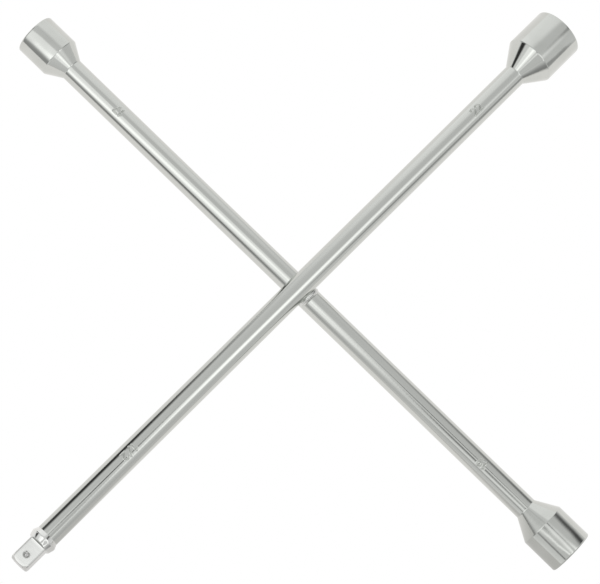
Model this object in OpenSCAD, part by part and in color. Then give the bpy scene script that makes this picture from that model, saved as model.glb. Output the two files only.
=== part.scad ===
// Four-way lug wrench: two crossed steel bars with three hex sockets and a square drive.
// The front bar lies along X and the rear bar along Y. Z = 0 is the lowest point.

/* [Bars] */
// Diameter of both round bars, mm
bar_diameter = 16; // [14:0.5:18]
// Length of the front arm pair, from the tip of the drive to the rim of the large socket, mm
front_length = 516; // [440:1:560]
// Length of the rear arm pair, from rim to rim, mm
rear_length = 496; // [430:1:550]
// Height of the front bar's centre line above the rear bar's, mm
bar_offset = 10; // [9:0.5:12]

/* [Small socket] */
// Nut size across flats, mm
small_nut = 17; // [15:1:17]
// Outer diameter of the straight barrel, mm
small_outer = 29.8; // [28:0.2:31]
// Length of the straight barrel, mm
small_barrel = 23.7; // [22:0.1:28]
// Length of the cone behind the barrel, mm
small_cone = 11.6; // [9:0.2:15]

/* [Middle socket] */
// Nut size across flats, mm
middle_nut = 19; // [17:1:19]
// Outer diameter of the straight barrel, mm
middle_outer = 32.6; // [30.4:0.2:34]
// Length of the straight barrel, mm
middle_barrel = 26.2; // [24:0.2:30]
// Length of the cone behind the barrel, mm
middle_cone = 14.8; // [12:0.2:17]

/* [Large socket] */
// Nut size across flats, mm
large_nut = 22; // [20:1:22]
// Outer diameter of the straight barrel, mm
large_outer = 36.4; // [35:0.2:38]
// Length of the straight barrel, mm
large_barrel = 30; // [27:0.1:33]
// Length of the cone behind the barrel, mm
large_cone = 15.6; // [13:0.2:19]

/* [All sockets] */
// Play between nut and socket across flats, mm
nut_play = 0.2; // [0.1:0.05:0.4]
// Hex depth as a share of the nut size
hex_depth_share = 1; // [0.8:0.05:1]
// Diameter of the stud's clearance bore as a share of the nut size
stud_bore_share = 0.85; // [0.75:0.01:0.88]
// Straight length of the stud's clearance bore, mm
stud_bore_length = 5; // [3:0.5:6]
// Widening of the mouth beyond the hex corners, mm
mouth_widening = 0.5; // [0.3:0.1:0.8]
// Rounding of the rim, mm
rim_rounding = 1.2; // [0.6:0.1:1.4]
// Rounding between cone and barrel, mm
shoulder_rounding = 1.6; // [0.8:0.1:3]
// Fillet between bar and cone, mm
neck_fillet = 1.5; // [1:0.5:5]
// Straight neck on which the socket is welded to its bar, mm
neck_length = 2; // [1.6:0.2:4]

/* [Square drive] */
// Width of the square across flats, mm
drive_width = 12.7; // [12.5:0.05:12.75]
// Diameter over the rounded corners of the square, mm
drive_corner_diameter = 16.9; // [16.1:0.1:16.9]
// Length of the square's flats, mm
drive_length = 17.4; // [16:0.2:20]
// Length of the step between the upset shoulder and the flats, mm
step_length = 1.3; // [1:0.1:1.6]
// Turn of the square about the bar's axis, degrees
drive_roll = 3; // [0:0.5:15]
// Diameter over the upset shoulder behind the square, mm
upset_diameter = 18.6; // [17:0.2:20]
// Length of the upset shoulder, mm
upset_length = 6.6; // [6:0.2:9]
// Rounding of the upset shoulder's crest, mm
crest_rounding = 2.5; // [1:0.5:3.5]
// Rounding of the tip's edge, mm
tip_rounding = 3.2; // [1:0.2:4]

/* [Detent] */
// Ball diameter, mm
ball_diameter = 4.4; // [4.2:0.1:4.4]
// Diameter of the bore that holds ball and spring, mm
ball_bore_diameter = 4.5; // [4.5:0.05:4.7]
// Depth of that bore under the drive's face, mm
ball_bore_depth = 9.6; // [9:0.1:10.5]
// Diameter of the staked lip that keeps the ball in, mm
lip_diameter = 4.1; // [3.9:0.05:4.1]
// Thickness of the staked lip, mm
lip_thickness = 0.35; // [0.3:0.05:0.5]
// Distance from the ball's centre line to the tip, mm
ball_from_tip = 7.4; // [7:0.1:9]
// Spring wire diameter, mm
wire_diameter = 0.55; // [0.4:0.05:0.6]
// Spring diameter measured between wire centres, mm
spring_diameter = 3.1; // [3:0.1:3.3]
// Number of spring turns
spring_turns = 6; // [4:1:7]

/* [Welds] */
// Thickness of the weld bead, mm
bead_diameter = 5.2; // [4.6:0.2:5.6]
// Distance of the bead's centre from the bar's centre plane, mm
bead_distance = 8.6; // [8.4:0.1:9]

/* [Hidden] */
$fn = 96;
bar_radius = bar_diameter / 2;
rear_height = max(small_outer, middle_outer) / 2;
front_height = rear_height + bar_offset;
small_length = neck_length + small_cone + small_barrel;
middle_length = neck_length + middle_cone + middle_barrel;
large_length = neck_length + large_cone + large_barrel;
drive_total = upset_length + step_length + drive_length;
small_start = rear_length / 2 - small_length;
middle_start = rear_length / 2 - middle_length;
large_start = front_length / 2 - large_length;
drive_start = front_length / 2 - drive_total;
ball_radius = ball_diameter / 2;
ball_place = drive_total - ball_from_tip;
// Clearance between pieces that move or press on each other
running_gap = 0.03;
// The ball touches the staked lip from below, one running gap short of contact
ball_depth = lip_thickness + sqrt(pow(ball_radius, 2) - pow(lip_diameter / 2, 2)) + running_gap;
// The spring's end turn bears on the ball below its widest circle
spring_top_depth = ball_depth + running_gap
    + sqrt(pow(ball_radius + wire_diameter / 2, 2) - pow(spring_diameter / 2, 2));
spring_span = ball_bore_depth - wire_diameter / 2 - running_gap - spring_top_depth;
closed_pitch = wire_diameter + 0.03;
open_pitch = (spring_span - 2 * closed_pitch) / (spring_turns - 2);
steps_per_turn = 20;
wire_sides = 8;
arc_steps = 6;
// Radius of the circle that the weld bead is bent to, and how far it is sunk towards the bar
bead_bend = 5.5;
bead_lift = 2.3;
// Round part of the step, before its four slopes begin
step_land = 0.2;
// Overshoot that makes cuts pass clean through a face
cut = 1;

// Points on an arc about (r, z), from one angle to another
function arc(r, z, radius, from, to) =
    [for (i = [0 : arc_steps])
        let (a = from + (to - from) * i / arc_steps)
        [r + radius * cos(a), z + radius * sin(a)]];

// Slope, from the axis, of a line that touches an arc whose centre lies (r, z) away from its start
function tangent_slope(r, z, radius) = atan2(r, z) + asin(radius / norm([r, z]));

// Height of the spring wire's centre after a number of turns, with one closed turn at each end
function spring_rise(turn) =
    turn < 1 ? closed_pitch * turn
    : turn > spring_turns - 1 ? spring_span - closed_pitch * (spring_turns - turn)
    : closed_pitch + open_pitch * (turn - 1);

module at_front_bar() {
    translate([0, 0, front_height]) children();
}

module at_rear_bar() {
    translate([0, 0, rear_height]) children();
}

// Places a piece drawn along +Z at a bar's end, continuing the bar in direction "towards",
// an angle in degrees from +X
module at_bar_end(towards, start) {
    rotate([0, 0, towards]) translate([start, 0, 0]) rotate([0, 90, 0]) children();
}

module round_bar_along_x(from, to) {
    translate([from, 0, 0]) rotate([0, 90, 0]) cylinder(r = bar_radius, h = to - from);
}

module front_bar_round() {
    at_front_bar() round_bar_along_x(-drive_start, large_start);
}

module rear_bar_round() {
    at_rear_bar() rotate([0, 0, 90]) round_bar_along_x(-middle_start, small_start);
}

// Outside of a socket head: neck, fillet, cone, rounded shoulder, barrel and rounded rim
module socket_outside(outer, barrel, cone) {
    radius = outer / 2;
    length = neck_length + cone + barrel;
    slope = atan2(radius - bar_radius, cone);
    cone_end = neck_length + cone;
    rotate_extrude() polygon(concat(
        [[0, 0], [bar_radius, 0]],
        arc(bar_radius + neck_fillet, neck_length - neck_fillet * tan(slope / 2), neck_fillet,
            180, 180 - slope),
        arc(radius - shoulder_rounding, cone_end + shoulder_rounding * tan(slope / 2),
            shoulder_rounding, -slope, 0),
        arc(radius - rim_rounding, length - rim_rounding, rim_rounding, 0, 90),
        [[0, length]]));
}

// Inside of a socket head: widened mouth, hex, clearance bore for the stud and drill point
module socket_inside(nut, length) {
    flat_radius = (nut + nut_play) / 2;
    corner_radius = flat_radius / cos(30);
    mouth_radius = corner_radius + mouth_widening;
    hex_floor = length - nut * hex_depth_share;
    bore_radius = nut * stud_bore_share / 2;
    bore_floor = hex_floor - stud_bore_length;
    drill_point = bore_radius * tan(31);
    rotate([0, 0, 30]) translate([0, 0, hex_floor])
        cylinder(r = corner_radius, h = length - hex_floor + cut, $fn = 6);
    translate([0, 0, length + flat_radius - mouth_radius])
        cylinder(r1 = flat_radius, r2 = mouth_radius, h = mouth_radius - flat_radius);
    translate([0, 0, length]) cylinder(r = mouth_radius, h = cut);
    translate([0, 0, bore_floor]) cylinder(r = bore_radius, h = hex_floor - bore_floor + cut);
    translate([0, 0, bore_floor - drill_point])
        cylinder(r1 = 0, r2 = bore_radius, h = drill_point);
}

module socket_head(nut, outer, barrel, cone) {
    difference() {
        socket_outside(outer, barrel, cone);
        socket_inside(nut, neck_length + cone + barrel);
    }
}

// Upset shoulder that the square grows out of: it rises from the bar to a rounded crest
module upset_shoulder() {
    crest = upset_diameter / 2;
    end_radius = drive_corner_diameter / 2;
    middle = upset_length / 2;
    centre = crest - crest_rounding;
    rotate_extrude() polygon(concat(
        [[0, 0], [bar_radius, 0]],
        arc(centre, middle, crest_rounding,
            -tangent_slope(centre - bar_radius, middle, crest_rounding),
            tangent_slope(centre - end_radius, middle, crest_rounding)),
        [[end_radius, upset_length], [0, upset_length]]));
}

// Envelope of the square: rounded corners and a flat tip with a rounded edge
module drive_envelope() {
    radius = drive_corner_diameter / 2;
    base = upset_length - cut;
    rotate_extrude() {
        translate([0, base]) square([radius, drive_total - tip_rounding - base]);
        translate([0, base]) square([radius - tip_rounding, drive_total - base]);
        translate([radius - tip_rounding, drive_total - tip_rounding]) circle(r = tip_rounding);
    }
}

// One pair of flats with the slopes that lead down to them, as a long prism along Y
module flat_pair() {
    narrow = drive_width / 2;
    flats_start = upset_length + step_length;
    steepness = (drive_corner_diameter / 2 - narrow) / (step_length - step_land);
    base = upset_length - cut;
    wide = narrow + steepness * (flats_start - base);
    rotate([90, 0, 0]) linear_extrude(height = 2 * drive_corner_diameter, center = true)
        polygon([[-wide, base], [wide, base], [narrow, flats_start], [narrow, drive_total + cut],
            [-narrow, drive_total + cut], [-narrow, flats_start]]);
}

// Cross bore for ball and spring, drawn along +X with the drive's face at drive_width / 2
module detent_bore() {
    translate([drive_width / 2, 0, ball_place]) rotate([0, -90, 0]) {
        translate([0, 0, lip_thickness])
            cylinder(d = ball_bore_diameter, h = ball_bore_depth - lip_thickness);
        translate([0, 0, -cut]) cylinder(d = lip_diameter, h = lip_thickness + 2 * cut);
    }
}

// The drive's own frame: +Z towards the tip, +X out of the face that holds the ball
module at_drive() {
    at_front_bar() rotate([-drive_roll, 0, 0]) translate([-drive_start, 0, 0])
        rotate([0, -90, 0]) children();
}

// A ring of weld bent over the top of a bar that lies along Y
module bead_ring() {
    translate([0, -bead_distance, bead_lift]) rotate([90, 0, 0])
        rotate_extrude() translate([bead_bend, 0]) circle(d = bead_diameter);
}

module front_bar() {
    color("gainsboro") front_bar_round();
}

module rear_bar() {
    color("silver") difference() {
        rear_bar_round();
        front_bar_round();
    }
}

module socket_small() {
    color("lightgray") at_rear_bar() at_bar_end(90, small_start)
        socket_head(small_nut, small_outer, small_barrel, small_cone);
}

module socket_middle() {
    color("lightgray") at_rear_bar() at_bar_end(-90, middle_start)
        socket_head(middle_nut, middle_outer, middle_barrel, middle_cone);
}

module socket_large() {
    color("lightgray") at_front_bar() at_bar_end(0, large_start)
        socket_head(large_nut, large_outer, large_barrel, large_cone);
}

module square_drive() {
    color("whitesmoke") at_drive() difference() {
        union() {
            upset_shoulder();
            intersection() {
                flat_pair();
                rotate([0, 0, 90]) flat_pair();
                drive_envelope();
            }
        }
        detent_bore();
    }
}

module weld_upper() {
    color("darkgray") difference() {
        at_rear_bar() bead_ring();
        rear_bar_round();
        front_bar_round();
    }
}

module weld_lower() {
    color("darkgray") difference() {
        at_front_bar() rotate([180, 0, 90]) bead_ring();
        rear_bar_round();
        front_bar_round();
    }
}

module detent_ball() {
    color("white") at_drive() translate([drive_width / 2 - ball_depth, 0, ball_place])
        sphere(d = ball_diameter);
}

// Helical wire with a closed turn at each end, as one swept solid
module detent_spring() {
    rings = spring_turns * steps_per_turn;
    centre_radius = spring_diameter / 2;
    wire_radius = wire_diameter / 2;
    points = [for (i = [0 : rings], j = [0 : wire_sides - 1])
        let (turn = i / steps_per_turn,
            around = 360 * turn,
            section = 360 * j / wire_sides,
            reach = centre_radius + wire_radius * cos(section))
        [reach * cos(around), reach * sin(around), spring_rise(turn) + wire_radius * sin(section)]];
    sides = [for (i = [0 : rings - 1], j = [0 : wire_sides - 1])
        let (next = (j + 1) % wire_sides, low = i * wire_sides, high = low + wire_sides)
        [low + j, low + next, high + next, high + j]];
    first_cap = [for (j = [0 : wire_sides - 1]) wire_sides - 1 - j];
    last_cap = [for (j = [0 : wire_sides - 1]) rings * wire_sides + j];
    color("dimgray") at_drive()
        translate([drive_width / 2 - spring_top_depth - spring_span, 0, ball_place])
        rotate([0, 90, 0])
        polyhedron(points, concat([first_cap], sides, [last_cap]));
}

front_bar();
rear_bar();
socket_small();
socket_middle();
socket_large();
square_drive();
weld_upper();
weld_lower();
detent_ball();
detent_spring();
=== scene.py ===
"""Looks of a four-way lug wrench, built round its CAD frame.

Metres. The front bar lies along X and the rear bar along Y, and they cross over the origin.
The floor is Z = 0 and the camera looks down at the crossed bars.
"""

import math
from collections import namedtuple

import bmesh
import bpy
from mathutils import Matrix, Vector, noise


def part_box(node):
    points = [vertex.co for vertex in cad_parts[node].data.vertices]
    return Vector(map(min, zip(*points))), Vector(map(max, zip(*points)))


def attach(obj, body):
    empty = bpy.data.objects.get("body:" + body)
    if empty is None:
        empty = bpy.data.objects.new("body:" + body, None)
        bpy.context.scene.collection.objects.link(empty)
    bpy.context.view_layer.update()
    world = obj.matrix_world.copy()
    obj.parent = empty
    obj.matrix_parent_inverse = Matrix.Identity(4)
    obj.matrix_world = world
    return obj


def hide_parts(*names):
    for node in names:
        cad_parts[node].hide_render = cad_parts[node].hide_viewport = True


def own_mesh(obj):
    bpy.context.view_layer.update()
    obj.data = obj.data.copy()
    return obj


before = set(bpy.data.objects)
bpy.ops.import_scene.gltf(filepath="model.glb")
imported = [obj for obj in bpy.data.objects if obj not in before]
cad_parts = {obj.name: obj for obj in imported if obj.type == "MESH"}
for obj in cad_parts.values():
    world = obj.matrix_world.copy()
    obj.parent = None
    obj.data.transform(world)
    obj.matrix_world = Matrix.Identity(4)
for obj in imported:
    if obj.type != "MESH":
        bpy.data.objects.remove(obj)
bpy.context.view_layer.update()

UP = Vector((0, 0, 1))
MM = 0.001


# ---------------------------------------------------------------- sizes taken from the frame

front_low, front_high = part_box("front_bar")
rear_low, rear_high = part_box("rear_bar")
bar_radius = (front_high.z - front_low.z) / 2
front_height = ((front_low + front_high) / 2).z
rear_height = rear_low.z + bar_radius

# nut is the width across the nut's flats, and cone the length of the cone behind the barrel
Socket = namedtuple("Socket", "node direction nut cone")
SOCKETS = [
    Socket("socket_small", Vector((0, 1, 0)), 17 * MM, 11.6 * MM),
    Socket("socket_middle", Vector((0, -1, 0)), 19 * MM, 14.8 * MM),
    Socket("socket_large", Vector((1, 0, 0)), 22 * MM, 15.6 * MM),
]

# Details that the frame's boxes don't show, with the sizes that they have in part.scad
neck_length = 2 * MM
neck_fillet = 1.5 * MM
shoulder_rounding = 1.6 * MM
rim_rounding = 1.2 * MM
nut_play = 0.2 * MM
stud_bore_share = 0.85
stud_bore_length = 5 * MM
mouth_widening = 0.5 * MM
hex_corner_rounding = 0.5 * MM
drill_point_slope = math.tan(math.radians(31))

drive_roll = math.radians(3)
drive_width = 12.7 * MM
drive_corner_radius = 8.45 * MM
upset_radius = 9.3 * MM
upset_length = 6.6 * MM
step_length = 1.3 * MM
step_land = 0.2 * MM
crest_rounding = 2.5 * MM
tip_rounding = 3.2 * MM
ball_bore_radius = 2.25 * MM
ball_bore_depth = 9.6 * MM
lip_radius = 2.05 * MM
lip_thickness = 0.35 * MM

wire_radius = 0.275 * MM
spring_radius = 1.55 * MM
spring_turns = 6
running_gap = 0.03 * MM


# ---------------------------------------------------------------- materials

# Nearly all of a noise node's values lie between these two
NOISE_LOW = 0.3
NOISE_HIGH = 0.7
# Scale of the plating's speckle, per metre
SPECKLE = (700, 700, 700)


def new_material(name):
    material = bpy.data.materials.new(name)
    material.use_nodes = True
    tree = material.node_tree
    return material, tree, tree.nodes["Principled BSDF"]


def stretched_noise(tree, scale, detail=2.0, roughness=0.5):
    """Noise over the frame's coordinates, with its own scale (per metre) along X, Y and Z."""
    place = tree.nodes.new("ShaderNodeTexCoord")
    stretch = tree.nodes.new("ShaderNodeMapping")
    stretch.inputs["Scale"].default_value = scale
    pattern = tree.nodes.new("ShaderNodeTexNoise")
    pattern.inputs["Scale"].default_value = 1.0
    pattern.inputs["Detail"].default_value = detail
    pattern.inputs["Roughness"].default_value = roughness
    tree.links.new(place.outputs["Object"], stretch.inputs["Vector"])
    tree.links.new(stretch.outputs["Vector"], pattern.inputs["Vector"])
    return pattern.outputs["Fac"]


def map_range(tree, value, start, end, low, high, interpolation="LINEAR"):
    """Maps a value that runs from start to end onto the range low to high."""
    span = tree.nodes.new("ShaderNodeMapRange")
    span.interpolation_type = interpolation
    for socket, number in (("From Min", start), ("From Max", end), ("To Min", low), ("To Max", high)):
        span.inputs[socket].default_value = number
    tree.links.new(value, span.inputs["Value"])
    return span.outputs["Result"]


def tint(tree, value, dark, light):
    """A colour between two others, by a noise value."""
    ramp = tree.nodes.new("ShaderNodeValToRGB")
    ramp.color_ramp.elements[0].position = NOISE_LOW
    ramp.color_ramp.elements[0].color = (*dark, 1)
    ramp.color_ramp.elements[1].position = NOISE_HIGH
    ramp.color_ramp.elements[1].color = (*light, 1)
    tree.links.new(value, ramp.inputs["Fac"])
    return ramp.outputs["Color"]


def add_bump(tree, value, distance, normal=None):
    bump = tree.nodes.new("ShaderNodeBump")
    bump.inputs["Strength"].default_value = 1.0
    bump.inputs["Distance"].default_value = distance
    tree.links.new(value, bump.inputs["Height"])
    if normal is not None:
        tree.links.new(normal, bump.inputs["Normal"])
    return bump.outputs["Normal"]


def metal(name, dark, light, roughness, grain, grain_height, swell=(60, 60, 60), swell_height=0.0,
          speckle_height=0.0):
    """Plated or bright metal: a stretched grain, a slow swell, and a fine speckle of the plating.

    The colour follows the swell and the roughness the grain. Grain and swell are scales per metre
    along X, Y and Z.
    """
    material, tree, shader = new_material(name)
    shader.inputs["Metallic"].default_value = 1.0
    fine = stretched_noise(tree, grain, 3.0)
    slow = stretched_noise(tree, swell, 1.0)
    tree.links.new(tint(tree, slow, dark, light), shader.inputs["Base Color"])
    dull = map_range(tree, fine, NOISE_LOW, NOISE_HIGH, *roughness)
    tree.links.new(dull, shader.inputs["Roughness"])
    normal = add_bump(tree, fine, grain_height)
    if swell_height:
        normal = add_bump(tree, slow, swell_height, normal)
    if speckle_height:
        normal = add_bump(tree, stretched_noise(tree, SPECKLE, 2.0, 0.6), speckle_height, normal)
    tree.links.new(normal, shader.inputs["Normal"])
    return material


def scale_along(axis, lengthwise, across):
    """Scales per metre along X, Y and Z of a pattern that runs along one of them."""
    return tuple(lengthwise if name == axis else across for name in "XYZ")


CHROME_DARK = (0.597, 0.612, 0.584)
CHROME_LIGHT = (0.632, 0.647, 0.620)

# Drawn bars, turned sockets and broached socket insides, by the axis that they lie along
drawn_chrome = {
    axis: metal("chrome_along_" + axis.lower(), CHROME_DARK, CHROME_LIGHT,
                roughness=(0.05, 0.12),
                grain=scale_along(axis, 6, 420), grain_height=0.002 * MM,
                swell=scale_along(axis, 4, 90), swell_height=0.02 * MM,
                speckle_height=0.010 * MM)
    for axis in "XY"
}
turned_chrome = {
    axis: metal("chrome_turned_" + axis.lower(), CHROME_DARK, CHROME_LIGHT,
                roughness=(0.04, 0.11),
                grain=scale_along(axis, 1400, 60), grain_height=0.0015 * MM,
                swell=(80, 80, 80), swell_height=0.015 * MM,
                speckle_height=0.010 * MM)
    for axis in "XY"
}
broached_steel = {
    axis: metal("broached_along_" + axis.lower(), (0.40, 0.40, 0.39), (0.50, 0.50, 0.48),
                roughness=(0.22, 0.42),
                grain=scale_along(axis, 30, 1500), grain_height=0.006 * MM)
    for axis in "XY"
}
drive_chrome = metal("chrome_drive", (0.76, 0.77, 0.75), (0.80, 0.81, 0.79),
                     roughness=(0.07, 0.16),
                     grain=(900, 300, 300), grain_height=0.002 * MM,
                     swell=(150, 150, 150), swell_height=0.02 * MM)
weld_chrome = metal("chrome_weld", (0.56, 0.57, 0.55), (0.70, 0.71, 0.69),
                    roughness=(0.05, 0.15),
                    grain=(1800, 1800, 1800), grain_height=0.006 * MM,
                    swell=(600, 600, 600), swell_height=0.12 * MM)
ball_steel = metal("bright_steel", (0.50, 0.50, 0.49), (0.56, 0.56, 0.55),
                   roughness=(0.03, 0.08),
                   grain=(2500, 2500, 2500), grain_height=0.0008 * MM)
spring_steel = metal("spring_steel", (0.30, 0.30, 0.31), (0.38, 0.38, 0.39),
                     roughness=(0.18, 0.32),
                     grain=(3000, 3000, 3000), grain_height=0.004 * MM)


# ---------------------------------------------------------------- mesh helpers

def arc(radial, along, radius, start, end, steps=10):
    """Points (radial, along) on an arc about a centre, between two angles in degrees."""
    points = []
    for i in range(steps + 1):
        angle = math.radians(start + (end - start) * i / steps)
        points.append((radial + radius * math.cos(angle), along + radius * math.sin(angle)))
    return points


def tangent_slope(radial, along, radius):
    """Slope, from the axis, of a line that touches an arc whose centre lies (radial, along) away."""
    return math.degrees(math.atan2(radial, along) + math.asin(radius / math.hypot(radial, along)))


def rounded_corner(before, corner, after, steps=4):
    """A corner eased by a curve from a point before it to a point after it."""
    points = []
    for i in range(steps + 1):
        t = i / steps
        points.append(before * (1 - t) ** 2 + corner * 2 * t * (1 - t) + after * t * t)
    return points


def grid_faces(rows, first=0, closed=True):
    """Faces between rows of equal length, whose points are numbered one row after another."""
    width = len(rows[0])
    faces = []
    for r in range(len(rows) - 1):
        for c in range(width if closed else width - 1):
            d = (c + 1) % width
            low = first + r * width
            faces.append((low + c, low + d, low + width + d, low + width + c))
    return faces


def shell(rows):
    """Points and faces of a closed skin: rows of equal length, with each end row drawn to a centre."""
    points = [p for row in rows for p in row]
    faces = grid_faces(rows)
    width = len(rows[0])
    for row, first in ((rows[0], 0), (rows[-1], (len(rows) - 1) * width)):
        centre = len(points)
        points.append(sum(row, Vector()) / width)
        faces += [(first + (c + 1) % width, first + c, centre) for c in range(width)]
    return points, faces


merge_distance = 0.0005 * MM


def make_piece(name, points, faces, materials, node, slot, body="wrench", crease=40):
    """A piece that rides on a body and stands for a CAD node.

    Edges that bend by more than the crease angle, in degrees, are sharp.
    """
    mesh = bpy.data.meshes.new(name)
    mesh.from_pydata([tuple(p) for p in points], [], faces)
    work = bmesh.new()
    work.from_mesh(mesh)
    bmesh.ops.remove_doubles(work, verts=work.verts, dist=merge_distance)
    bmesh.ops.dissolve_degenerate(work, edges=work.edges, dist=merge_distance)
    bmesh.ops.recalc_face_normals(work, faces=work.faces)
    for face in work.faces:
        face.smooth = True
    work.to_mesh(mesh)
    work.free()
    mesh.set_sharp_from_angle(angle=math.radians(crease))
    for material in materials:
        mesh.materials.append(material)
    piece = bpy.data.objects.new(name, mesh)
    bpy.context.scene.collection.objects.link(piece)
    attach(piece, body)
    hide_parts(node)
    return piece


def axis_frame(direction, origin):
    """Local Z runs along the direction, local X points up and local Y completes the set."""
    across = direction.cross(UP)
    return Matrix((
        (UP.x, across.x, direction.x, origin.x),
        (UP.y, across.y, direction.y, origin.y),
        (UP.z, across.z, direction.z, origin.z),
        (0, 0, 0, 1),
    ))


# ---------------------------------------------------------------- stamped numerals

# Strokes of each numeral, in a cell one unit high, and the width of its cell
GLYPHS = {
    "1": ([[(0.05, 0.78), (0.3, 1.0), (0.3, 0.0)]], 0.62),
    "2": ([arc(0.31, 0.70, 0.30, 165, -35, 12) + [(0.0, 0.0), (0.64, 0.0)]], 0.86),
    "7": ([[(0.0, 1.0), (0.62, 1.0), (0.24, 0.0)]], 0.80),
    "9": ([arc(0.30, 0.70, 0.29, 0, 360, 20),
           [(0.59, 0.70), (0.57, 0.42), (0.42, 0.15), (0.14, 0.0)]], 0.84),
    "/": ([[(0.06, -0.05), (0.64, 1.05)]], 0.90),
}
glyph_height = 5.2 * MM
stroke_half_width = 0.42 * MM
stroke_depth = 0.40 * MM
lip_height = 0.11 * MM
lip_spread = 0.13 * MM
stamp_margin = 3 * stroke_half_width

# text, place of its middle along the bar in metres, turn about the bar from the top in degrees,
# and whether it reads along the bar's positive direction
Stamp = namedtuple("Stamp", "text place turn forward")
FRONT_STAMPS = [Stamp("22", 0.1725, 7, True), Stamp("1/2", -0.160, 6, False)]
REAR_STAMPS = [Stamp("17", 0.169, -1, True), Stamp("19", -0.1655, -7, True)]


def text_segments(text):
    """Stroke segments of a text in metres, centred on (0, 0), and its half length."""
    width = sum(GLYPHS[c][1] for c in text)
    start = -width / 2
    segments = []
    for c in text:
        strokes, advance = GLYPHS[c]
        for stroke in strokes:
            scaled = [((start + x) * glyph_height, (y - 0.5) * glyph_height) for x, y in stroke]
            segments += zip(scaled, scaled[1:])
        start += advance
    return segments, width * glyph_height / 2


def distance_to(segment, x, y):
    (x0, y0), (x1, y1) = segment
    run = x1 - x0
    rise = y1 - y0
    share = max(0.0, min(1.0, ((x - x0) * run + (y - y0) * rise) / (run * run + rise * rise)))
    return math.hypot(x - x0 - share * run, y - y0 - share * rise)


def stamp_height(segments, x, y):
    """Height of the surface at a point of a stamp: a rounded groove with a slight lip."""
    away = min(distance_to(s, x, y) for s in segments)
    height = 0.0
    if away < stroke_half_width:
        height -= stroke_depth * (1 - (away / stroke_half_width) ** 2) ** 1.5
    outside = (away - stroke_half_width - lip_spread) / lip_spread
    return height + lip_height * math.exp(-outside * outside)


# ---------------------------------------------------------------- bars

fine_step = 0.14 * MM
coarse_step = 6 * MM
coarse_turn = math.radians(3)


def filled(edges, coarse, fine_spans, fine):
    """Sorted values from edges[0] to edges[1], close together inside the fine spans."""
    breaks = sorted({*edges, *(v for span in fine_spans for v in span)})
    values = [breaks[0]]
    for low, high in zip(breaks, breaks[1:]):
        middle = (low + high) / 2
        is_fine = any(a <= middle <= b for a, b in fine_spans)
        steps = max(1, math.ceil((high - low) / (fine if is_fine else coarse)))
        values += [low + (high - low) * i / steps for i in range(1, steps + 1)]
    return values


def bar_turns(stamps):
    """Angles about the bar from the top, all the way round, closer together across the stamps."""
    half = (glyph_height / 2 + stamp_margin) / bar_radius
    turns = [math.radians(s.turn) for s in stamps]
    span = (min(turns) - half, max(turns) + half)
    return filled((-math.pi, math.pi), coarse_turn, [span], fine_step / bar_radius)[:-1]


def bar_surface(stamps, hand):
    """A function that gives the stamped bar's radius at a place and turn, and the stamps' spans.

    Hand is 1 where a stamp's letters stand up towards a greater turn, and -1 where they stand
    up towards a smaller one.
    """
    marks = []
    for s in stamps:
        segments, half_length = text_segments(s.text)
        marks.append((s, segments, half_length + stamp_margin))

    def radius_at(place, turn):
        for s, segments, reach in marks:
            if abs(place - s.place) > reach:
                continue
            sign = 1 if s.forward else -1
            x = sign * (place - s.place)
            y = sign * hand * (turn - math.radians(s.turn)) * bar_radius
            if abs(y) < glyph_height / 2 + stamp_margin:
                return bar_radius + stamp_height(segments, x, y)
        return bar_radius

    spans = [(s.place - reach, s.place + reach) for s, segments, reach in marks]
    return radius_at, spans


def make_front_bar():
    """The front bar, which lies whole over the rear one."""
    radius_at, spans = bar_surface(FRONT_STAMPS, 1)
    turns = bar_turns(FRONT_STAMPS)
    rows = []
    for x in filled((front_low.x, front_high.x), coarse_step, spans, fine_step):
        row = []
        for turn in turns:
            radius = radius_at(x, turn)
            row.append(Vector((x, radius * math.sin(turn), front_height + radius * math.cos(turn))))
        rows.append(row)
    make_piece("front_bar_chrome", *shell(rows), [drawn_chrome["X"]], "front_bar",
               "polished_chrome", crease=55)


# The rear bar's rows bend round the notch out to this distance, in this many steps
notch_zone = 12 * MM
notch_steps = 6
# No column of the rear bar lies nearer than this to the notch's corner, in radians
column_gap = 0.01


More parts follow.
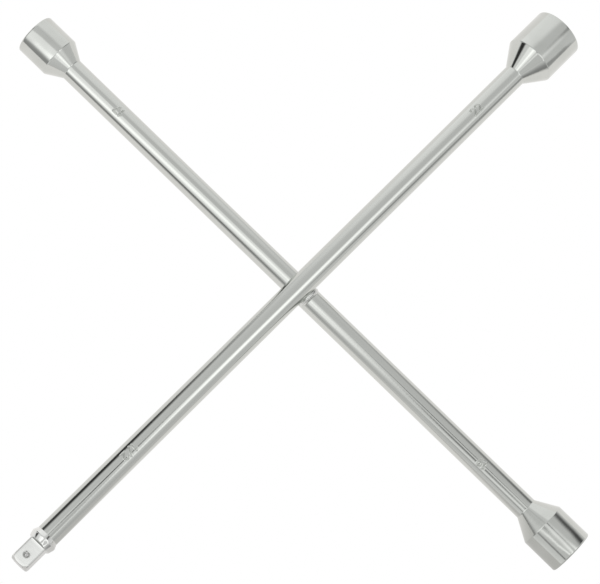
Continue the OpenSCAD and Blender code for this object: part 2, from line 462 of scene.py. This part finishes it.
def make_rear_bar():
    """The rear bar, notched on top so that the front bar lies in it."""
    radius_at, spans = bar_surface(REAR_STAMPS, -1)
    drop = front_height - rear_height
    notch_turn = math.acos((drop - bar_radius) / bar_radius)
    turns = [t for t in bar_turns(REAR_STAMPS) if abs(abs(t) - notch_turn) > column_gap]
    turns = sorted(turns + [-notch_turn, notch_turn])

    def notch_reach(turn):
        below = drop - bar_radius * math.cos(turn)
        return math.sqrt(max(0.0, bar_radius ** 2 - below ** 2)) if abs(turn) < notch_turn else 0.0

    def surface(y, turn):
        radius = radius_at(y, turn)
        return Vector((radius * math.sin(turn), y, rear_height + radius * math.cos(turn)))

    points = []
    faces = []
    for sign, end in ((-1, rear_low.y), (1, rear_high.y)):
        stamped = [sorted((abs(a), abs(b))) for a, b in spans if a * sign > 0]
        outer = filled((notch_zone, abs(end)), coarse_step, stamped, fine_step)[1:]
        rows = []
        for step in range(notch_steps + 1):
            share = step / notch_steps
            rows.append([surface(sign * (notch_reach(t) * (1 - share) + notch_zone * share), t)
                         for t in turns])
        rows += [[surface(sign * y, t) for t in turns] for y in outer]
        faces += grid_faces(rows, len(points))
        points += [p for row in rows for p in row]
        last = len(points) - len(turns)
        faces += [(last + c, last + (c + 1) % len(turns), len(points)) for c in range(len(turns))]
        points.append(Vector((0, end, rear_height)))
    notched = [t for t in turns if abs(t) <= notch_turn + 1e-9]
    saddle = []
    for step in range(-notch_steps, notch_steps + 1):
        row = []
        for turn in notched:
            y = notch_reach(turn) * step / notch_steps
            row.append(Vector((bar_radius * math.sin(turn), y,
                               front_height - math.sqrt(bar_radius ** 2 - y * y))))
        saddle.append(row)
    faces += grid_faces(saddle, len(points), closed=False)
    points += [p for row in saddle for p in row]
    make_piece("rear_bar_chrome", points, faces, [drawn_chrome["Y"]], "rear_bar",
               "polished_chrome", crease=55)


# ---------------------------------------------------------------- sockets

socket_columns = 192
mouth_edge = 0.06 * MM
# Faces that don't look outward are broached from this far inside the hex's corners, and from this
# far along the socket
broached_inset = 0.05 * MM
broached_start = 0.5 * MM


def socket_outline(outer, length, cone):
    """Profile (radial, along) from the neck to the rim."""
    slope = math.degrees(math.atan2(outer - bar_radius, cone))
    half_slope = math.tan(math.radians(slope / 2))
    cone_end = neck_length + cone
    return (
        [(bar_radius * 0.33, 0), (bar_radius * 0.66, 0), (bar_radius, 0)]
        + arc(bar_radius + neck_fillet, neck_length - neck_fillet * half_slope, neck_fillet,
              180, 180 - slope)
        + arc(outer - shoulder_rounding, cone_end + shoulder_rounding * half_slope,
              shoulder_rounding, -slope, 0)
        + [(outer, cone_end + (length - cone_end) * share) for share in (0.3, 0.6)]
        + arc(outer - rim_rounding, length - rim_rounding, rim_rounding, 0, 90)
    )


def hex_radius(flat_radius, angle):
    """Radius of a hex hole with slightly rounded corners. Its flats face angles 0, 60, ..."""
    from_flat = (angle + math.pi / 6) % (math.pi / 3) - math.pi / 6
    from_corner = math.pi / 6 - abs(from_flat)
    centre = (flat_radius - hex_corner_rounding) / math.cos(math.pi / 6)
    touch = math.atan2(hex_corner_rounding * math.sin(math.pi / 6),
                       centre + hex_corner_rounding * math.cos(math.pi / 6))
    if from_corner > touch:
        return flat_radius / math.cos(from_flat)
    return (centre * math.cos(from_corner)
            + math.sqrt(hex_corner_rounding ** 2 - (centre * math.sin(from_corner)) ** 2))


def make_socket(socket):
    """A socket with its neck, cone and barrel, its hex hole and the stud bore behind that."""
    low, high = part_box(socket.node)
    direction = socket.direction
    start = min(abs(low.dot(direction)), abs(high.dot(direction)))
    rim = max(abs(low.dot(direction)), abs(high.dot(direction)))
    length = rim - start
    outer = (high.z - low.z) / 2
    height = (high.z + low.z) / 2
    place = axis_frame(direction, direction * start + UP * height)
    flat_radius = (socket.nut + nut_play) / 2
    corner_radius = flat_radius / math.cos(math.pi / 6)
    mouth_radius = corner_radius + mouth_widening
    hex_floor = length - socket.nut
    bore_radius = socket.nut * stud_bore_share / 2
    bore_floor = hex_floor - stud_bore_length
    angles = [2 * math.pi * c / socket_columns for c in range(socket_columns)]

    def ring(radial, along):
        return [place @ Vector((radial * math.cos(a), radial * math.sin(a), along)) for a in angles]

    rows = [ring(r, z) for r, z in socket_outline(outer, length, socket.cone)]
    mouth_land = [mouth_radius + (outer - rim_rounding - mouth_radius) * s for s in (0.5, 0.08)]
    rows += [ring(r, length) for r in mouth_land]
    rows.append(ring(mouth_radius, length - mouth_edge))
    hex_radii = [hex_radius(flat_radius, a) for a in angles]
    for share in (0.0, 0.03, 0.35, 0.7, 1.0):
        row = []
        for angle, radius in zip(angles, hex_radii):
            top = length - (mouth_radius - radius)
            along = top + (hex_floor - top) * share
            row.append(place @ Vector((radius * math.cos(angle), radius * math.sin(angle), along)))
        rows.append(row)
    row = []
    for angle, radius in zip(angles, hex_radii):
        middle = (radius + bore_radius) / 2
        row.append(place @ Vector((middle * math.cos(angle), middle * math.sin(angle), hex_floor)))
    rows.append(row)
    rows.append(ring(bore_radius, hex_floor))
    rows += [ring(bore_radius, hex_floor - stud_bore_length * s) for s in (0.06, 0.5, 1.0)]
    for share in (0.6, 0.2):
        rows.append(ring(bore_radius * share,
                         bore_floor - bore_radius * drill_point_slope * (1 - share)))
    points, faces = shell(rows)
    points[-1] = place @ Vector((0, 0, bore_floor - bore_radius * drill_point_slope))
    axis = "X" if direction.x else "Y"
    piece = make_piece(socket.node + "_chrome", points, faces,
                       [turned_chrome[axis], broached_steel[axis]], socket.node,
                       "polished_chrome", crease=35)
    to_local = place.inverted()
    for polygon in piece.data.polygons:
        local = to_local @ polygon.center
        reach = math.hypot(local.x, local.y)
        outward = (to_local.to_3x3() @ polygon.normal).dot(Vector((local.x, local.y, 0))) / reach
        inside = reach < corner_radius - broached_inset and local.z > broached_start
        if inside and outward < 0.5:
            polygon.material_index = 1


# ---------------------------------------------------------------- square drive, ball and spring

# The drive points along -X, and the ball looks out of its top face
drive_low, drive_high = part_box("square_drive")
drive_total = drive_high.x - drive_low.x
ball_low, ball_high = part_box("detent_ball")
ball_centre = (ball_low + ball_high) / 2
ball_radius = (ball_high.x - ball_low.x) / 2
ball_normal = Vector((0, math.sin(drive_roll), math.cos(drive_roll)))
drive_axis = Vector((-1, 0, 0))
drive_side = drive_axis.cross(ball_normal)
drive_start = Vector((drive_high.x, 0, front_height))
drive_place = Matrix((
    (ball_normal.x, drive_side.x, drive_axis.x, drive_start.x),
    (ball_normal.y, drive_side.y, drive_axis.y, drive_start.y),
    (ball_normal.z, drive_side.z, drive_axis.z, drive_start.z),
    (0, 0, 0, 1),
))
half_width = drive_width / 2
edge_easing = 0.35 * MM
drive_crease = 28
# Height of the ball's centre over the drive's axis
ball_height = (ball_centre - Vector((ball_centre.x, 0, front_height))).dot(ball_normal)


def square_section():
    """Points round the square: flats, eased edges and round corner lands."""
    straight_share = 0.93
    flat_half = math.sqrt(drive_corner_radius ** 2 - half_width ** 2)
    edge_angle = math.atan2(flat_half, half_width)
    land_half = math.pi / 4 - edge_angle
    eased = edge_easing / drive_corner_radius
    flat_steps = 12
    land_steps = 4
    quarter = [Vector((half_width, flat_half * straight_share * (2 * i / flat_steps - 1), 0))
               for i in range(flat_steps + 1)]
    corner = Vector((half_width, flat_half, 0))
    land = []
    for i in range(land_steps + 1):
        angle = edge_angle + eased + 2 * (land_half - eased) * i / land_steps
        land.append(drive_corner_radius * Vector((math.cos(angle), math.sin(angle), 0)))
    quarter += rounded_corner(quarter[-1], corner, land[0])[1:-1]
    quarter += land
    next_corner = Vector((flat_half, half_width, 0))
    next_flat = Vector((flat_half * straight_share, half_width, 0))
    quarter += rounded_corner(land[-1], next_corner, next_flat)[1:-1]
    section = []
    for turn in range(4):
        rotation = Matrix.Rotation(turn * math.pi / 2, 4, "Z")
        section += [rotation @ p for p in quarter]
    return section


def upset_outline():
    """Profile (radial, along) of the shoulder behind the square."""
    middle = upset_length / 2
    centre = upset_radius - crest_rounding
    return (
        [(bar_radius * 0.5, 0), (bar_radius, 0)]
        + arc(centre, middle, crest_rounding,
              -tangent_slope(centre - bar_radius, middle, crest_rounding),
              tangent_slope(centre - drive_corner_radius, middle, crest_rounding), 16)
        + [(drive_corner_radius, upset_length)]
    )


def tip_point(distance):
    """Point of the tip's outline at a distance along it from the start of its rounding."""
    arc_length = tip_rounding * math.pi / 2
    centre = Vector((drive_corner_radius - tip_rounding, drive_total - tip_rounding))
    if distance <= arc_length:
        angle = distance / tip_rounding
        return centre + tip_rounding * Vector((math.cos(angle), math.sin(angle)))
    return Vector((max(0.0, centre.x - (distance - arc_length)), drive_total))


def tip_distance(radius):
    """How far along the tip's outline it reaches a radius."""
    low = 0.0
    high = tip_rounding * math.pi / 2 + drive_corner_radius
    for _ in range(40):
        middle = (low + high) / 2
        if tip_point(middle).x > radius:
            low = middle
        else:
            high = middle
    return low


def drive_outline(radius):
    """Profile of one column of the square, from the shoulder's step over the tip to its middle.

    The step has one flat slope on each side of the square, so it is lower at the corners.
    """
    least_run = 0.06 * MM
    root_length = 0.5 * MM
    easing = 0.45 * MM
    wall_steps = 12
    tip_steps = 9
    # The tip's rows end at this share of its flat's radius, and crowd towards its edge
    flat_share = 0.8
    crowding = 1.3
    steepness = (drive_corner_radius - half_width) / (step_length - step_land)
    run = (drive_corner_radius * half_width / radius - half_width) / steepness
    bend = Vector((radius, upset_length + step_length))
    slope_start = Vector((drive_corner_radius, bend.y - max(run, least_run)))
    root = min(root_length, 0.4 * (bend - slope_start).length)
    foot = bend + (slope_start - bend).normalized() * root
    wall = bend + Vector((0, root))
    points = [slope_start] + rounded_corner(foot, bend, wall)
    reach = tip_distance(radius)
    edge = tip_point(reach)
    before = edge - Vector((0, easing))
    after = tip_point(reach + easing)
    points += [wall.lerp(before, i / wall_steps) for i in range(1, wall_steps)]
    points += rounded_corner(before, edge, after, 5)
    last = tip_rounding * math.pi / 2 + (drive_corner_radius - tip_rounding) * flat_share
    left = last - reach - easing
    points += [tip_point(reach + easing + left * (i / tip_steps) ** crowding)
               for i in range(1, tip_steps)]
    return points


def make_drive():
    """The square with its shoulder. Each point of its section is one column of its skin."""
    section = square_section()
    rows = [[drive_place @ (Vector((p.x, p.y, 0)).normalized() * radial + Vector((0, 0, along)))
             for p in section] for radial, along in upset_outline()]
    outlines = [drive_outline(p.length) for p in section]
    for level in range(len(outlines[0])):
        row = []
        for p, outline in zip(section, outlines):
            radial, along = outline[level]
            row.append(drive_place @ (p.normalized() * radial + Vector((0, 0, along))))
        rows.append(row)
    points, faces = shell(rows)
    points[-1] = drive_place @ Vector((0, 0, drive_total))
    piece = make_piece("square_drive_chrome", points, faces, [drive_chrome], "square_drive",
                       "polished_chrome", crease=drive_crease)
    cut_ball_bore(piece)


def ball_frame():
    """Local Z points out of the drive's face, with Z = 0 on that face."""
    across = ball_normal.cross(drive_axis)
    origin = ball_centre + ball_normal * (half_width - ball_height)
    return Matrix((
        (drive_axis.x, across.x, ball_normal.x, origin.x),
        (drive_axis.y, across.y, ball_normal.y, origin.y),
        (drive_axis.z, across.z, ball_normal.z, origin.z),
        (0, 0, 0, 1),
    ))


def turned_rows(profile, place):
    """Rows of a lathed skin, from its profile (radial, along)."""
    columns = 64
    rows = []
    for radial, along in profile:
        rows.append([place @ Vector((radial * math.cos(2 * math.pi * c / columns),
                                     radial * math.sin(2 * math.pi * c / columns), along))
                     for c in range(columns)])
    return rows


def cut_ball_bore(piece):
    """Cuts the bore for ball and spring, with a shallow ring where its lip is staked over."""
    stake_width = 0.55 * MM
    stake_depth = 0.13 * MM
    profile = [
        (lip_radius + stake_width, 1 * MM),
        (lip_radius + stake_width, 0),
        (lip_radius + stake_width - 0.12 * MM, -0.10 * MM),
        (lip_radius + 0.16 * MM, -stake_depth),
        (lip_radius + 0.03 * MM, -stake_depth - 0.04 * MM),
        (lip_radius, -stake_depth - 0.11 * MM),
        (lip_radius, -lip_thickness),
        (ball_bore_radius, -lip_thickness - 0.1 * MM),
        (ball_bore_radius, -ball_bore_depth),
        (ball_bore_radius * 0.4, -ball_bore_depth),
    ]
    points, faces = shell(turned_rows(profile, ball_frame()))
    mesh = bpy.data.meshes.new("bore_cutter")
    mesh.from_pydata([tuple(p) for p in points], [], faces)
    work = bmesh.new()
    work.from_mesh(mesh)
    bmesh.ops.recalc_face_normals(work, faces=work.faces)
    work.to_mesh(mesh)
    work.free()
    cutter = bpy.data.objects.new("bore_cutter", mesh)
    bpy.context.scene.collection.objects.link(cutter)
    cutting = piece.modifiers.new("bore", "BOOLEAN")
    cutting.operation = "DIFFERENCE"
    cutting.solver = "EXACT"
    cutting.object = cutter
    bpy.context.view_layer.update()
    evaluated = piece.evaluated_get(bpy.context.evaluated_depsgraph_get())
    result = bpy.data.meshes.new_from_object(evaluated)
    piece.modifiers.clear()
    piece.data = result
    result.set_sharp_from_angle(angle=math.radians(drive_crease))
    bpy.data.objects.remove(cutter)


def make_ball():
    """The ball, lathed about the joint's axis with a small worn crown."""
    crown_wear = 0.004 * MM
    steps = 32
    profile = []
    for i in range(1, steps):
        angle = math.radians(-90 + 180 * i / steps)
        radius = ball_radius - crown_wear * max(0.0, math.sin(angle)) ** 24
        profile.append((radius * math.cos(angle), radius * math.sin(angle)))
    place = ball_frame()
    place.translation = ball_centre
    points, faces = shell(turned_rows(profile, place))
    points[-2] = ball_centre - ball_normal * ball_radius
    points[-1] = ball_centre + ball_normal * (ball_radius - crown_wear)
    make_piece("detent_ball_bright", points, faces, [ball_steel], "detent_ball",
               "ball_steel", body="ball")


def make_spring():
    """A compression spring under the ball."""
    face = ball_frame()
    ball_depth = half_width - ball_height
    contact = math.sqrt((ball_radius + wire_radius) ** 2 - spring_radius ** 2)
    top = -(ball_depth + running_gap + contact)
    bottom = -(ball_bore_depth - wire_radius - running_gap)
    closed_pitch = 2 * wire_radius + running_gap
    open_pitch = (top - bottom - 2 * closed_pitch) / (spring_turns - 2)

    def rise(turn):
        if turn < 1:
            return closed_pitch * turn
        if turn > spring_turns - 1:
            return top - bottom - closed_pitch * (spring_turns - turn)
        return closed_pitch + open_pitch * (turn - 1)

    steps_per_turn = 40
    sides = 14
    rows = []
    for i in range(spring_turns * steps_per_turn + 1):
        turn = i / steps_per_turn
        around = 2 * math.pi * turn
        row = []
        for j in range(sides):
            section = 2 * math.pi * j / sides
            reach = spring_radius + wire_radius * math.cos(section)
            row.append(face @ Vector((reach * math.cos(around), reach * math.sin(around),
                                      bottom + rise(turn) + wire_radius * math.sin(section))))
        rows.append(row)
    piece = make_piece("detent_spring_wire", *shell(rows), [spring_steel], "detent_spring",
                       "spring_wire")
    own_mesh(piece)


# ---------------------------------------------------------------- welds

# The bead arches over a bar. These are the arch's radius, the height of its centre over the bar's
# centre line, its distance from the other bar's centre line, and its reach to each side.
bead_bend = 5.5 * MM
bead_lift = 2.3 * MM
bead_distance = 8.6 * MM
bead_reach = math.radians(118)
bead_radius = 2.6 * MM
# Mean share of that radius that the bead fills between its ends
bead_fullness = 0.965
ripple_pitch = 1.15 * MM
ripple_height = 0.10 * MM
# Each ripple bows by this much along the bead, from its crown to its flanks
ripple_bow = 0.9 * MM
# The power that rounds the ripples, and the level of their middle
ripple_power = 0.7
ripple_middle = 0.6
# The ripples' spacing wanders by this share of a ripple, over about this length
wander_share = 0.5
wander_length = 2.3 * MM
# The bead's radius wanders by this share, this often over a radian of its arch and of its section
lump_share = 0.05
lumps_along = 3
lumps_around = 1.5
# The bead tapers at its ends to this share of its radius
end_share = 0.1


def make_weld(name, node, height, flip):
    """A rippled bead laid over one bar in the corner that it makes with the other."""
    steps = 260
    sides = 48
    seed = Vector((3.1, 7.7, 1.9)) if flip else Vector((0.0, 0.0, 0.0))
    rows = []
    for i in range(steps + 1):
        share = 2 * i / steps - 1
        angle = bead_reach * share
        fade = math.sqrt(max(0.0, 1 - abs(share) ** 6)) * (1 - end_share) + end_share
        row = []
        for j in range(sides):
            section = 2 * math.pi * j / sides
            along = bead_bend * angle + ripple_bow * math.sin(section) ** 2
            wander = noise.noise(Vector((along / wander_length, 0, 0)) + seed)
            phase = along / ripple_pitch + wander_share * wander
            crest = abs(math.sin(math.pi * phase)) ** ripple_power - ripple_middle
            spot = Vector((angle * lumps_along, math.cos(section) * lumps_around,
                           math.sin(section) * lumps_around))
            full = bead_fullness + lump_share * noise.noise(spot + seed)
            radius = bead_radius * fade * full + ripple_height * crest
            bend = bead_bend + radius * math.cos(section)
            local = Vector((bend * math.sin(angle), radius * math.sin(section) - bead_distance,
                            bead_lift + bend * math.cos(angle)))
            if flip:
                local = Vector((local.y, local.x, -local.z))
            row.append(local + UP * height)
        rows.append(row)
    make_piece(name, *shell(rows), [weld_chrome], node, "plated_weld", crease=60)


# ---------------------------------------------------------------- studio

def glow(name, strength_of, colour=(1, 1, 1)):
    """An emitting material. strength_of gets the node tree and returns a strength or its output."""
    material = bpy.data.materials.new(name)
    material.use_nodes = True
    tree = material.node_tree
    tree.nodes.clear()
    light = tree.nodes.new("ShaderNodeEmission")
    output = tree.nodes.new("ShaderNodeOutputMaterial")
    light.inputs["Color"].default_value = (*colour, 1)
    strength = strength_of(tree)
    if isinstance(strength, float):
        light.inputs["Strength"].default_value = strength
    else:
        tree.links.new(strength, light.inputs["Strength"])
    tree.links.new(light.outputs["Emission"], output.inputs["Surface"])
    return material


def stage_piece(name, points, faces, material, camera, glossy):
    mesh = bpy.data.meshes.new(name)
    mesh.from_pydata([tuple(p) for p in points], [], faces)
    mesh.materials.append(material)
    for polygon in mesh.polygons:
        polygon.use_smooth = True
    thing = bpy.data.objects.new(name, mesh)
    bpy.context.scene.collection.objects.link(thing)
    thing.visible_camera = camera
    thing.visible_glossy = glossy
    thing.visible_diffuse = camera
    thing.visible_shadow = False
    return thing


def sheet_at(centre, across, upward):
    """Corners of a flat sheet from its centre and two half extents."""
    return [centre - across - upward, centre + across - upward,
            centre + across + upward, centre - across + upward]


def math_node(tree, operation, *values):
    node = tree.nodes.new("ShaderNodeMath")
    node.operation = operation
    for socket, value in zip(node.inputs, values):
        if isinstance(value, (int, float)):
            socket.default_value = value
        else:
            tree.links.new(value, socket)
    return node.outputs[0]


def place_along(tree, direction, origin=Vector()):
    """How far the shaded point lies from an origin along a direction, in the direction's lengths."""
    place = tree.nodes.new("ShaderNodeNewGeometry")
    offset = tree.nodes.new("ShaderNodeVectorMath")
    offset.operation = "SUBTRACT"
    tree.links.new(place.outputs["Position"], offset.inputs[0])
    offset.inputs[1].default_value = origin
    dot = tree.nodes.new("ShaderNodeVectorMath")
    dot.operation = "DOT_PRODUCT"
    tree.links.new(offset.outputs["Vector"], dot.inputs[0])
    dot.inputs[1].default_value = direction
    return dot.outputs["Value"]


picture_up = Vector((1, 1, 0)).normalized()
picture_right = Vector((1, -1, 0)).normalized()
dome_radius = 3.0
# Mean strength of the bare dome at the floor's height, and what it gains over its radius along
# each direction
dome_base = 0.85
dome_gain = picture_up * -0.06 - picture_right * 0.10 - UP * 0.12

floor_reach = 8.0
# The floor's reflection is darker near the viewer. Places are metres along the picture's up.
floor_change_start = -0.19
floor_change_end = -0.14
floor_near_strength = 0.67
floor_far_strength = 0.95
floor_sheen = (1.02, 1.0, 0.99)

# Soft boxes, and dark flags with a strength below zero, on the dome round the tool. Azimuth runs
# from the picture's right towards its top. Turn is about the line to the dome's centre. Both and
# the elevation are in degrees. The half sizes are shares of the dome's radius, and the core is
# the share of a patch that has its full strength.
Patch = namedtuple("Patch", "azimuth elevation turn half_width half_height core strength")
SOFT_BOXES = [
    Patch(270, 50, -10, 0.60, 0.30, 0.7, 1.00),     # main box, in front
    Patch(330, 65, -45, 0.35, 0.55, 0.2, 0.95),     # high box, front right
    Patch(210, 50, 0, 0.18, 0.60, 0.5, 0.40),       # tall strip, front left
    Patch(190, 55, -10, 0.25, 0.70, 0.7, 0.35),     # wide box, left
    Patch(85, 15, -10, 0.60, 0.80, 0.7, 0.25),      # large low box, behind
]
DARK_FLAGS = [
    Patch(262, 47, 70, 0.30, 0.55, 0.6, -1.10),     # flag across the main box
    Patch(315, 65, 15, 0.20, 0.40, 0.2, -1.05),     # high flag, front right
    Patch(172, 0, 55, 0.90, 0.25, 0.5, -0.85),      # long low flag, left
    Patch(130, 15, 5, 0.20, 0.55, 0.2, -0.80),      # low flag, back left
    Patch(30, 30, 60, 0.75, 0.20, 0.1, -0.60),      # long flag, back right
    Patch(200, 0, -55, 1.00, 0.60, 0.1, -0.60),     # large low flag, left
    Patch(285, 0, -40, 1.00, 0.65, 0.1, -0.55),     # large low flag, in front
    Patch(340, 15, -15, 0.10, 0.45, 0.4, -0.35),    # narrow flag, right
    Patch(8, 84, -37, 0.13, 0.08, 0.10, -0.65),     # small flag, overhead
    Patch(239, 72, 14, 0.08, 0.22, 0.10, -0.55),    # where the camera stands
    Patch(215, 15, 0, 0.15, 0.20, 0.1, -0.30),      # small low flag, front left
]


def floor_strength(tree):
    """Changes smoothly from the viewer's side of the floor to the far side."""
    return map_range(tree, place_along(tree, picture_up), floor_change_start, floor_change_end,
                     floor_near_strength, floor_far_strength, "SMOOTHSTEP")


def patch_strength(tree, patch):
    """Full strength in the core of an oval patch, fading to nothing at its edge."""
    azimuth, elevation, turn = (math.radians(angle) for angle in patch[:3])
    level = picture_right * math.cos(azimuth) + picture_up * math.sin(azimuth)
    centre = level * math.cos(elevation) + UP * math.sin(elevation)
    rising = UP * math.cos(elevation) - level * math.sin(elevation)
    sideways = centre.cross(rising)
    width_way = sideways * math.cos(turn) + rising * math.sin(turn)
    height_way = rising * math.cos(turn) - sideways * math.sin(turn)
    depth = max(patch.half_width, patch.half_height)
    squares = []
    for way, half in (
        (width_way, patch.half_width),
        (height_way, patch.half_height),
        (centre, depth),
    ):
        share = place_along(tree, way / (half * dome_radius), centre * dome_radius)
        squares.append(math_node(tree, "MULTIPLY", share, share))
    together = math_node(tree, "ADD", math_node(tree, "ADD", squares[0], squares[1]), squares[2])
    away = math_node(tree, "SQRT", together)
    return map_range(tree, away, patch.core, 1.0, patch.strength, 0.0, "SMOOTHSTEP")


def dome_strength(tree):
    """A pale dome, lightest low on the picture's left, with all the patches on it."""
    total = math_node(tree, "ADD", place_along(tree, dome_gain / dome_radius), dome_base)
    for patch in SOFT_BOXES + DARK_FLAGS:
        total = math_node(tree, "ADD", total, patch_strength(tree, patch))
    return math_node(tree, "MAXIMUM", total, 0.0)


def make_studio():
    """A white floor, and a grey floor and patterned dome that only reflections see."""
    flat = [(0, 1, 2, 3)]
    along_x = Vector((floor_reach, 0, 0))
    along_y = Vector((0, floor_reach, 0))
    stage_piece("floor", sheet_at(Vector(), along_x, along_y), flat,
                glow("floor_white", lambda tree: 1.0), camera=True, glossy=False)
    stage_piece("floor_reflection", sheet_at(-UP * MM, along_x, along_y), flat,
                glow("floor_sheen", floor_strength, floor_sheen), camera=False, glossy=True)
    levels = 36
    columns = 120
    rows = []
    for i in range(levels):
        rise = math.pi / 2 * i / (levels - 0.5)
        rows.append([dome_radius * Vector((math.cos(rise) * math.cos(2 * math.pi * c / columns),
                                           math.cos(rise) * math.sin(2 * math.pi * c / columns),
                                           math.sin(rise))) for c in range(columns)])
    points = [p for row in rows for p in row]
    faces = grid_faces(rows)
    faces.append(tuple(range(len(points) - columns, len(points))))
    stage_piece("studio_dome", points, faces, glow("dome_light", dome_strength),
                camera=False, glossy=True)
    world = bpy.data.worlds.new("studio_world")
    bpy.context.scene.world = world
    world.use_nodes = True
    background = world.node_tree.nodes["Background"]
    background.inputs["Color"].default_value = (1, 1, 1, 1)
    background.inputs["Strength"].default_value = 1.0
    bpy.context.scene.view_settings.view_transform = "Standard"


def make_camera():
    """The camera stands high over the tool, a little to the picture's left and towards the viewer."""
    level = (front_height + rear_height) / 2
    stand = Vector((-0.3817, -0.1224, level + 1.3857))
    target = Vector((-0.0022, -0.0020, level))
    roll = math.radians(-1.24)
    forward = (target - stand).normalized()
    right = forward.cross(picture_up).normalized()
    upward = right.cross(forward)
    turned_right = right * math.cos(roll) + upward * math.sin(roll)
    turned_up = upward * math.cos(roll) - right * math.sin(roll)
    data = bpy.data.cameras.new("camera")
    data.lens = 131.2
    data.sensor_width = 36
    data.sensor_fit = "HORIZONTAL"
    camera = bpy.data.objects.new("camera", data)
    bpy.context.scene.collection.objects.link(camera)
    camera.matrix_world = Matrix((
        (turned_right.x, turned_up.x, -forward.x, stand.x),
        (turned_right.y, turned_up.y, -forward.y, stand.y),
        (turned_right.z, turned_up.z, -forward.z, stand.z),
        (0, 0, 0, 1),
    ))
    bpy.context.scene.camera = camera


make_camera()
make_studio()
make_front_bar()
make_rear_bar()
for socket in SOCKETS:
    make_socket(socket)
make_drive()
make_ball()
make_spring()
make_weld("weld_upper_bead", "weld_upper", rear_height, flip=False)
make_weld("weld_lower_bead", "weld_lower", front_height, flip=True)
